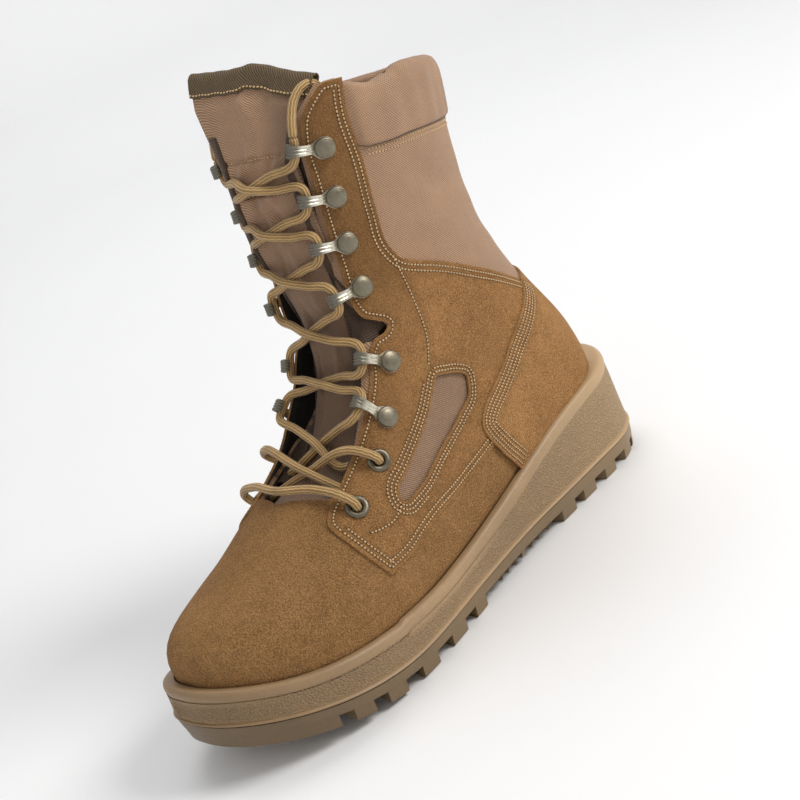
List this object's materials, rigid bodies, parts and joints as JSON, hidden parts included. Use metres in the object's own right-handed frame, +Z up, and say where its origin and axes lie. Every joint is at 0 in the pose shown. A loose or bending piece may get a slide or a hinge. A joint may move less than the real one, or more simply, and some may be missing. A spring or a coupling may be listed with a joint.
{
  "type": "lace-up hiking boot",
  "caption": "Left lace-up hiking boot with a tall shaft of tan suede and nylon, eyelets, speed hooks and a lugged moulded sole.",
  "frame": {"origin": "on the floor, under the middle of the boot's bounding box", "axes": "+Y runs from the toe to the heel, +X to the outer (lateral) side of this left boot, +Z up"},
  "size_m": [0.1045, 0.2998, 0.2639],
  "materials": {
    "sole_rubber": "matt",
    "midsole_polyurethane": "stippled matt",
    "insole_textile": "brushed textile",
    "suede": "napped suede",
    "binding_tape": "ribbed tape",
    "nylon": "woven nylon",
    "hardware": "antiqued, worn at the edges",
    "lace_cord": "braided round cord"
  },
  "bodies": {
    "root": {"outsole": "sole_rubber", "midsole": "midsole_polyurethane", "insole": "insole_textile", "upper": "suede", "heel_counter": "suede", "backstay": "binding_tape", "tongue": "nylon", "collar_pad": "nylon", "eyelet_lateral_1": "hardware", "eyelet_medial_1": "hardware", "eyelet_lateral_2": "hardware", "eyelet_medial_2": "hardware", "hook_lateral_1": "hardware", "hook_medial_1": "hardware", "hook_lateral_2": "hardware", "hook_medial_2": "hardware", "hook_lateral_3": "hardware", "hook_medial_3": "hardware", "hook_lateral_4": "hardware", "hook_medial_4": "hardware", "hook_lateral_5": "hardware", "hook_medial_5": "hardware", "hook_lateral_6": "hardware", "hook_medial_6": "hardware", "lace_crossings": "lace_cord", "lace_low_crossing": "lace_cord", "lace_bar": "lace_cord", "lace_end_lateral": "lace_cord", "lace_end_medial": "lace_cord"}
  },
  "joints": []
}
